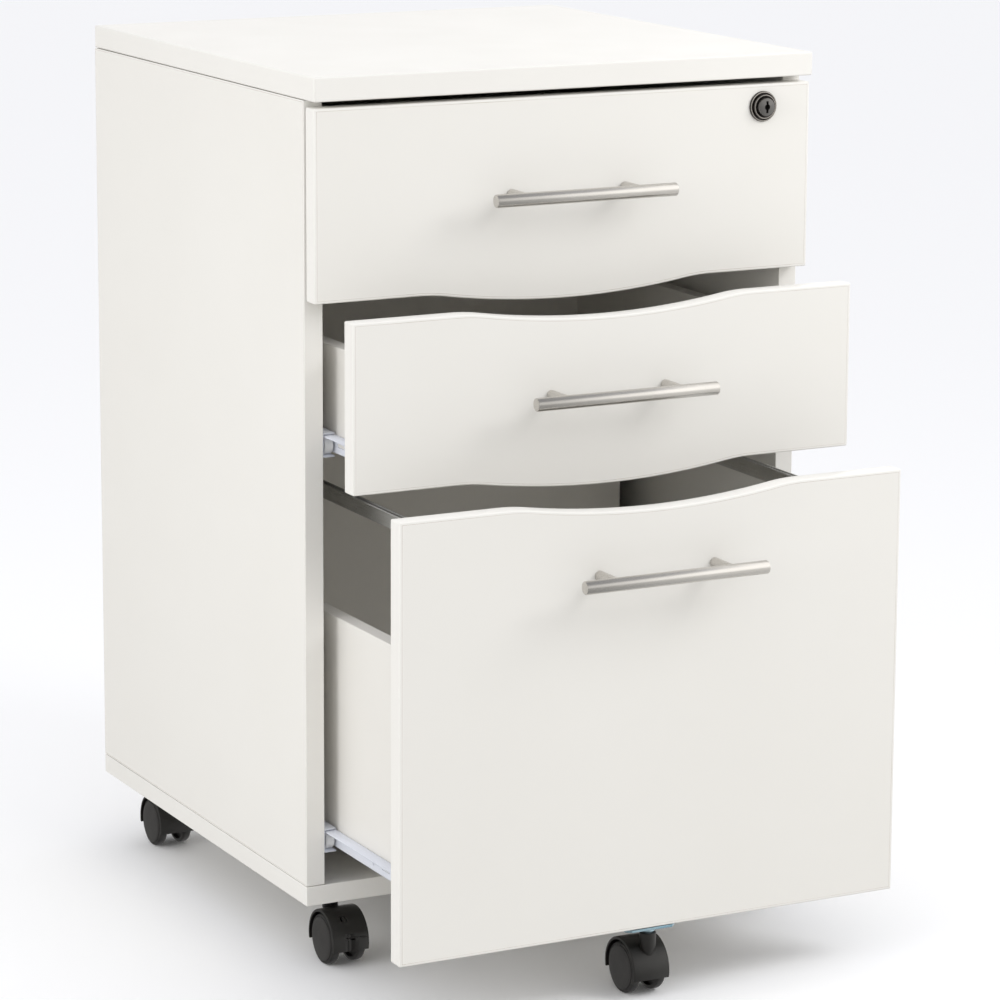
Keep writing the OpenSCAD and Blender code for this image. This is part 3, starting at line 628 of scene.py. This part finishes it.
def sheet_member(side, web_x, front_y, rear_y, low_z, high_z, low_reach, high_reach, holes):
    """A bent sheet member: an upright web with holes, and flanges along its lower and upper border. The reaches
    say how far, and towards which side, the flanges stand out from the middle of the web's sheet."""
    bm = bmesh.new()
    x = side * web_x
    flat_low, flat_high = low_z + SHEET / 2 + BEND, high_z - SHEET / 2 - BEND
    outline = add_loop(bm, [(x, front_y, flat_low), (x, rear_y, flat_low), (x, rear_y, flat_high),
                            (x, front_y, flat_high)])
    rims = [e for hole in holes for e in add_slot(bm, Vector((x, *hole[0])), *hole[1:])]
    bmesh.ops.triangle_fill(bm, use_beauty=True, use_dissolve=False, edges=outline + rims)
    for edge, z, reach in ((outline[0], flat_low, low_reach), (outline[2], flat_high, high_reach)):
        way = side * math.copysign(1, reach)
        angle = math.copysign(math.pi / 2, -way if z == flat_low else way)
        bend_out(bm, [edge], (x + way * BEND, 0, z), Y, angle, X * way * (abs(reach) - BEND))
    bmesh.ops.recalc_face_normals(bm, faces=bm.faces)
    return bm


def thicken(bm, thickness):
    """Gives a sheet its thickness, half to each side."""
    for vert in bm.verts:
        vert.co -= vert.normal * thickness / 2
    bmesh.ops.solidify(bm, geom=bm.faces[:], thickness=-thickness)


for drawer in ("upper", "middle", "lower"):
    low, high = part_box(f"{drawer}_cabinet_runners")
    pin = pivots[f"{drawer}_front_roller_turn"]
    members = bmesh.new()
    heads = bmesh.new()
    for side in (-1, 1):
        web_x = high.x - SHEET / 2
        reach = -(10.4 * MM - SHEET / 2)
        screw_y = [low.y + 30 * MM, low.y + 160 * MM, low.y + 318 * MM]
        holes = [((y, (low.z + high.z) / 2), Y, 8 * MM, 3.6 * MM) for y in (low.y + 62 * MM, low.y + 224 * MM)]
        member = sheet_member(side, web_x, low.y, high.y, low.z, high.z, reach, reach, holes)
        thicken(member, SHEET)
        join(members, member)
        for y in screw_y:
            head = [(0, -0.2), (1.0, -0.2), (1.1, 0.25), (2.9, 0.3), (3.3, 0.1), (3.3, -0.4), (0, -0.4)]
            seat = Vector((side * (high.x - SHEET), y, (low.z + high.z) / 2))
            smooth_below(heads, add_lathed(heads, [(r * MM, x * MM) for r, x in head], seat, X * -side, Z, 24))
        rivet = [(0, 0), (2.0, 0), (2.0, 8.2), (2.9, 8.3), (2.9, 8.7), (2.2, 9.1), (0, 9.2)]
        smooth_below(members, add_lathed(members, [(r * MM, x * MM) for r, x in rivet],
                                         Vector((side * (high.x - SHEET), pin.y, pin.z)), X * -side, Z, 24))
    make_piece(f"{drawer}_cabinet_members", members, "cabinet", [powder_coat],
               [f"{drawer}_cabinet_runners"])
    make_piece(f"{drawer}_runner_screws", heads, "cabinet", [zinc_fittings])

    low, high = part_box(f"{drawer}_drawer_runners")
    pin = pivots[f"{drawer}_rear_roller_turn"]
    box_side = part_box(f"{drawer}_drawer_right_side")[1].x
    members = bmesh.new()
    for side in (-1, 1):
        middle_z = low.z + 7 * MM
        holes = [((low.y + y * MM, middle_z), Y, 14 * MM, 3.2 * MM) for y in (60.5, 188.5, 298.5)]
        holes += [((low.y + y * MM, middle_z), Z, 5 * MM, 2.6 * MM) for y in (80.8, 208.8, 318.8)]
        member = sheet_member(side, box_side + SHEET / 2, low.y, high.y, low.z, high.z,
                              -(10 * MM + SHEET / 2), 10.5 * MM - SHEET / 2, holes)
        # The upper flange stops short of the rear roller
        flange_end = pin.y - 8.5 * MM
        flange = [f for f in member.faces if f.calc_center_median().z > high.z - SHEET / 2 - BEND]
        geom = list({g for f in flange for g in (f, *f.edges, *f.verts)})
        bmesh.ops.bisect_plane(member, geom=geom, plane_co=(0, flange_end, 0), plane_no=Y)
        bmesh.ops.delete(member, context="FACES", geom=[
            f for f in member.faces
            if f.calc_center_median().z > high.z - SHEET / 2 - BEND and f.calc_center_median().y > flange_end])
        thicken(member, SHEET)
        join(members, member)
        rivet = [(0, -1.0), (2.0, -1.0), (2.0, 9.1), (2.9, 9.2), (2.9, 9.5), (2.2, 9.7), (0, 9.7)]
        smooth_below(members, add_lathed(members, [(r * MM, x * MM) for r, x in rivet],
                                         Vector((side * (box_side + SHEET), pin.y, pin.z)), X * side, Z, 24))
    make_piece(f"{drawer}_drawer_members", members, f"{drawer}_drawer", [powder_coat],
               [f"{drawer}_drawer_runners"])

    for which in ("front", "rear"):
        node = f"{drawer}_front_rollers" if which == "front" else f"{drawer}_drawer_rear_rollers"
        low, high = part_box(node)
        pin = pivots[f"{drawer}_{which}_roller_turn"]
        rollers = bmesh.new()
        for side in (-1, 1):
            tread = [(2.1, 0.3), (2.4, 0), (3.6, 0), (3.9, 0.5), (5.4, 0.5), (5.7, 0), (6.3, 0), (7.0, 0.9),
                     (7.0, 6.1), (6.3, 7.0), (5.7, 7.0), (5.4, 6.5), (3.9, 6.5), (3.6, 7.0), (2.4, 7.0), (2.1, 6.7)]
            seat = Vector((side * high.x, pin.y, pin.z))
            smooth_below(rollers, add_lathed(rollers, [(r * MM, x * MM) for r, x in tread], seat,
                                             X * -side, Z, 40, closed=True))
        make_piece(f"{drawer}_{which}_roller_pair", rollers, f"{drawer}_{which}_rollers", [roller_nylon],
                   [node])

# ---- Drawer boxes ----
# Particle board sides and backs wrapped in white foil, 12 mm thick, with a 5 mm bottom slid into grooves.
foil = new_finish("white_foil", cast_skin, {
    "Main": (0.82, 0.80, 0.755), "Cloud": (0.80, 0.78, 0.735), "Cloud Scale": 7.0,
    "Shiny": 0.38, "Dull": 0.52, "Grain Scale": 600.0}, 0.3, 0.00006)
for drawer in ("upper", "middle", "lower"):
    body = f"{drawer}_drawer"
    bottom_low, bottom_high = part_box(f"{drawer}_drawer_bottom")
    for side_name, inward in (("left_side", X), ("right_side", -X)):
        low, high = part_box(f"{drawer}_drawer_{side_name}")
        side_board = bmesh.new()
        add_block(side_board, low, high)
        soften(side_board, corners(side_board), 0.6 * MM)
        sink(side_board, -inward, Vector((0, low.y + 1 * MM, bottom_low.z)),
             Vector((0, high.y - 1 * MM, bottom_high.z)), 5 * MM)
        make_piece(f"{drawer}_box_{side_name}", side_board, body, [foil],
                   [f"{drawer}_drawer_{side_name}"])
    for part in ("back", "bottom"):
        panel = bmesh.new()
        low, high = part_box(f"{drawer}_drawer_{part}")
        add_block(panel, low, high)
        soften(panel, corners(panel), 0.3 * MM, 2)
        make_piece(f"{drawer}_box_{part}", panel, body, [foil], [f"{drawer}_drawer_{part}"])

# ---- File rails ----
# Two extruded aluminium rails on the deep drawer's sides carry hanging files. Each has a rounded crown with a
# narrow channel along it.
rail_metal = drawn_finish("rail_aluminium", (0.60, 0.60, 0.59), (0.52, 0.52, 0.51),
                          0.24, 0.42, 0.3, 0.00003, Y)
low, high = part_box("file_rails")
rails = bmesh.new()
for side in (-1, 1):
    rail = bmesh.new()
    outer, wide = high.x, 6 * MM
    profile = [(outer, low.z), (outer, high.z), (outer - 2 * MM, high.z), (outer - 2 * MM, high.z - 3 * MM),
               (outer - 4 * MM, high.z - 3 * MM), (outer - 4 * MM, high.z), (outer - wide, high.z),
               (outer - wide, low.z)]
    add_loop(rail, [(side * x, low.y, z) for x, z in profile])
    end = bmesh.ops.contextual_create(rail, geom=rail.edges[:])["faces"]
    made = bmesh.ops.extrude_face_region(rail, geom=end)["geom"]
    shift_new(rail, made, (0, high.y - low.y, 0))
    bmesh.ops.recalc_face_normals(rail, faces=rail.faces)
    crown = [e for e in rail.edges if all(v.co.z > high.z - 0.1 * MM for v in e.verts) and
             abs((e.verts[0].co - e.verts[1].co).y) > 0.1]
    soften(rail, crown, 0.7 * MM)
    join(rails, rail)
make_piece("hanging_file_rails", rails, "lower_drawer", [rail_metal], ["file_rails"])

# ---- Drawer fronts ----
# Melamine-faced board cut on a router: each front meets the next along a shallow wave, and thick ABS strips
# follow the edges with a full rounding.
ARC_DEPTH, ARC_HALF, BLEND_R, GAP = 9.6 * MM, 112 * MM, 150 * MM, 4 * MM
ARC_R = (ARC_HALF ** 2 + ARC_DEPTH ** 2) / (2 * ARC_DEPTH)
blend_x = math.sqrt((ARC_R + BLEND_R) ** 2 - (ARC_R + BLEND_R - ARC_DEPTH) ** 2)
wave_angle = math.asin(blend_x / (ARC_R + BLEND_R))


def router_path(bm, start, moves):
    """Follows an outline in the XZ plane: to a point in a straight line, or round a centre by an angle."""
    tool = bm.verts.new(start)
    for move in moves:
        if len(move) == 2:
            tool = bmesh.ops.extrude_vert_indiv(bm, verts=[tool])["verts"][0]
            tool.co = (move[0], start[1], move[1])
        else:
            last = bmesh.ops.spin(bm, geom=[tool], cent=(move[0], start[1], move[1]), axis=Y, angle=move[2],
                                  steps=move[3])["geom_last"]
            tool = next(g for g in last if isinstance(g, bmesh.types.BMVert))
    bmesh.ops.remove_doubles(bm, verts=bm.verts, dist=1e-6)


def wave(edge_z, leftward):
    """The moves along the wave in an upper front's lower edge, or backwards along the one under it."""
    way = -1 if leftward else 1
    middle_z, side_z = edge_z + ARC_R - ARC_DEPTH, edge_z - BLEND_R
    return [(-way * blend_x, side_z, way * wave_angle, 8), (0, middle_z, -2 * way * wave_angle, 56),
            (way * blend_x, side_z, way * wave_angle, 8)]


for drawer in ("upper", "middle", "lower"):
    low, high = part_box(f"{drawer}_drawer_front")
    lower_edge = low.z if drawer == "lower" else low.z + ARC_DEPTH
    path = []
    if drawer != "lower":
        path += [(-blend_x, lower_edge), *wave(lower_edge, False)]
    path += [(high.x, lower_edge), (high.x, high.z)]
    if drawer != "upper":
        path += [(blend_x, high.z), *wave(high.z + GAP, True)]
    path += [(low.x, high.z), (low.x, lower_edge)]
    front = bmesh.new()
    router_path(front, (low.x, high.y, lower_edge), path)
    blank = bmesh.ops.contextual_create(front, geom=front.edges[:])["faces"]
    made = bmesh.ops.extrude_face_region(front, geom=blank)["geom"]
    shift_new(front, made, (0, low.y - high.y, 0))
    bmesh.ops.recalc_face_normals(front, faces=front.faces)
    band_edges(front, Y, 1.1 * MM, 2.0 * MM)
    for face in front.faces:
        if face.material_index == STRIP and abs(face.normal.y) < 0.1 and abs(face.normal.x) < 0.3:
            face.smooth = True
    make_piece(f"{drawer}_front_board", front, f"{drawer}_drawer", BOARD_FINISHES,
               [f"{drawer}_drawer_front"])

# ---- Handles ----
# Round stainless bars brushed lengthwise, their ends chamfered, each on two round posts screwed through the front.
brushed_steel = drawn_finish("brushed_stainless", (0.64, 0.62, 0.59), (0.60, 0.58, 0.55),
                             0.25, 0.31, 0.12, 0.00001, X)
POST_GAP, POST_R = 96 * MM, 4 * MM
for drawer in ("upper", "middle", "lower"):
    low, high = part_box(f"{drawer}_drawer_handle")
    bar_r = (high.z - low.z) / 2
    half = (high.x - low.x) / 2
    centre = Vector((0, low.y + bar_r, (low.z + high.z) / 2))
    handle = bmesh.new()
    bar = [(0, -half), (bar_r - 0.9 * MM, -half), (bar_r - 0.35 * MM, -half + 0.15 * MM),
           (bar_r, -half + 0.7 * MM)]
    bar += [(radius, -place) for radius, place in reversed(bar)]
    smooth_below(handle, add_lathed(handle, bar, centre, X, Z, 64), 40)
    for side in (-1, 1):
        foot = Vector((side * POST_GAP / 2, high.y, centre.z))
        post = [(0, 0), (POST_R - 0.3 * MM, 0), (POST_R, -0.3 * MM), (POST_R, centre.y - high.y + 1 * MM),
                (0, centre.y - high.y + 1 * MM)]
        smooth_below(handle, add_lathed(handle, post, foot, Y, Z, 40), 40)
    make_piece(f"{drawer}_bar_handle", handle, f"{drawer}_drawer", [brushed_steel],
               [f"{drawer}_drawer_handle"])

# ---- Gang lock ----
# A cylinder lock plated in dark nickel: a stepped ring on the front, and a plug with a keyhole. Its eccentric pin
# lifts a flat aluminium bar that runs down the side panel's groove.
dark_nickel = drawn_finish("dark_nickel", (0.085, 0.078, 0.075), (0.060, 0.055, 0.053),
                           0.16, 0.28, 0.2, 0.00002, Y)
# A lighter nickel, painted on the lock ring's two raised rims as a highlight
rim_highlight_nickel = drawn_finish("rim_highlight_nickel", (0.50, 0.47, 0.43), (0.30, 0.28, 0.26),
                           0.20, 0.34, 0.2, 0.00002, Y)
plug_steel = drawn_finish("plug_nickel", (0.20, 0.195, 0.19), (0.15, 0.145, 0.14),
                          0.26, 0.40, 0.3, 0.00002, Z)
# Near-black painted shade for the inside of the keyhole, which is plug metal
keyhole_painted_shade = new_finish("keyhole_painted_shade", cast_skin, {
    "Main": (0.012, 0.011, 0.010), "Cloud": (0.02, 0.018, 0.016), "Cloud Scale": 400.0,
    "Shiny": 0.5, "Dull": 0.7, "Grain Scale": 2500.0}, 0.3, 0.00004)
ring_low, ring_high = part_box("lock_housing")
face_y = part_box("upper_drawer_front")[0].y
turning = pivots["lock_plug_turn"]
eye = Vector((turning.x, face_y, turning.z))
housing = bmesh.new()
barrel_end = (ring_high.y - face_y) / MM
ring = [(6.86, barrel_end), (8.0, barrel_end), (8.0, 0.0), (11.4, 0.0), (11.7, -0.25), (11.7, -1.2),
        (11.35, -1.75), (10.9, -1.95), (10.6, -1.95), (9.9, -1.1), (9.45, -1.1), (9.4, -3.5), (9.15, -3.95),
        (8.8, -4.15), (8.5, -4.15), (7.5, -3.6), (7.1, -3.55), (6.86, -3.3)]
ring_faces = add_lathed(housing, [(r * MM, y * MM) for r, y in ring], eye, Y, Z, 72, closed=True)
for face in ring_faces:
    middle = face.calc_center_median() - eye
    radius = math.hypot(middle.x, middle.z) / MM
    # Painted highlight: the two raised rims get a lighter nickel
    if middle.y < -1.7 * MM and (10.5 < radius < 11.3 or 8.4 < radius < 9.1):
        face.material_index = 1
smooth_below(housing, ring_faces, 28)
make_piece("lock_ring", housing, "upper_drawer", [dark_nickel, rim_highlight_nickel], ["lock_housing"])

plug_low, plug_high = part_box("lock_plug")
plug_face = plug_low.y
plug = bmesh.new()
body_end = ring_high.y + 0.15 * MM
DOME, DOME_R, PLUG_R, COLLAR_R, COLLAR_T = 0.55 * MM, 6.25 * MM, 6.8 * MM, 7.8 * MM, 1 * MM
body_l = body_end - plug_face
shaft = [(DOME_R, DOME), (6.65 * MM, DOME + 0.15 * MM), (PLUG_R, DOME + 0.5 * MM), (PLUG_R, body_l),
         (COLLAR_R, body_l), (COLLAR_R, body_l + COLLAR_T), (0, body_l + COLLAR_T)]
add_lathed(plug, shaft, Vector((eye.x, plug_face, eye.z)), Y, Z, 48)
rim = [e for e in plug.edges if e.is_boundary]
half_w, half_h, hub = 0.95 * MM, 4.6 * MM, 2.3 * MM
notch = math.sqrt(hub ** 2 - half_w ** 2)
swing = 2 * math.asin(notch / hub)
key_depth = 5 * MM
key_before = set(plug.edges)
router_path(plug, (eye.x + half_w, plug_face, eye.z - half_h), [
    (eye.x + half_w, eye.z - notch), (eye.x, eye.z, -swing, 10), (eye.x + half_w, eye.z + half_h),
    (eye.x - half_w, eye.z + half_h), (eye.x - half_w, eye.z + notch), (eye.x, eye.z, -swing, 10),
    (eye.x - half_w, eye.z - half_h), (eye.x + half_w, eye.z - half_h)])
keyhole = [e for e in plug.edges if e not in key_before]
for vert in {v for e in keyhole for v in e.verts}:
    # The plug's face is slightly domed
    vert.co.y = plug_face + DOME * ((vert.co - eye) * Vector((1, 0, 1))).length_squared / DOME_R ** 2
bmesh.ops.triangle_fill(plug, use_beauty=True, use_dissolve=False, edges=rim + keyhole)
walls = bmesh.ops.extrude_edge_only(plug, edges=keyhole)["geom"]
shift_new(plug, walls, (0, key_depth, 0))
floor_edges = [g for g in walls if isinstance(g, bmesh.types.BMEdge) and g.is_boundary]
ends = bmesh.ops.edgeloop_fill(plug, edges=floor_edges)["faces"]
bmesh.ops.recalc_face_normals(plug, faces=plug.faces)
smooth_below(plug, list(plug.faces), 28)
# Painted shade: the keyhole's walls and floor take the near-black finish
for face in [g for g in walls if isinstance(g, bmesh.types.BMFace)] + list(ends):
    face.material_index, face.smooth = 1, False
pin_l = plug_high.y - body_end - 0.7 * MM
crank_pin = [(0, 0), (1.8 * MM, 0), (1.8 * MM, pin_l - 0.3 * MM), (1.5 * MM, pin_l), (0, pin_l)]
crank_r, crank_turn = 6 * MM, math.radians(135)
crank_at = Vector((eye.x - crank_r * math.sin(crank_turn), body_end + 0.7 * MM,
                   eye.z + crank_r * math.cos(crank_turn)))
smooth_below(plug, add_lathed(plug, crank_pin, crank_at, Y, Z, 24))
make_piece("lock_plug_cylinder", plug, "lock_plug", [plug_steel, keyhole_painted_shade], ["lock_plug"])

bar_metal = drawn_finish("mill_aluminium", (0.66, 0.67, 0.68), (0.58, 0.59, 0.60),
                         0.28, 0.46, 0.3, 0.00003, Z)
for material_slot in frame["nodes"]["lock_bar"].material_slots:
    material_slot.material = bar_metal
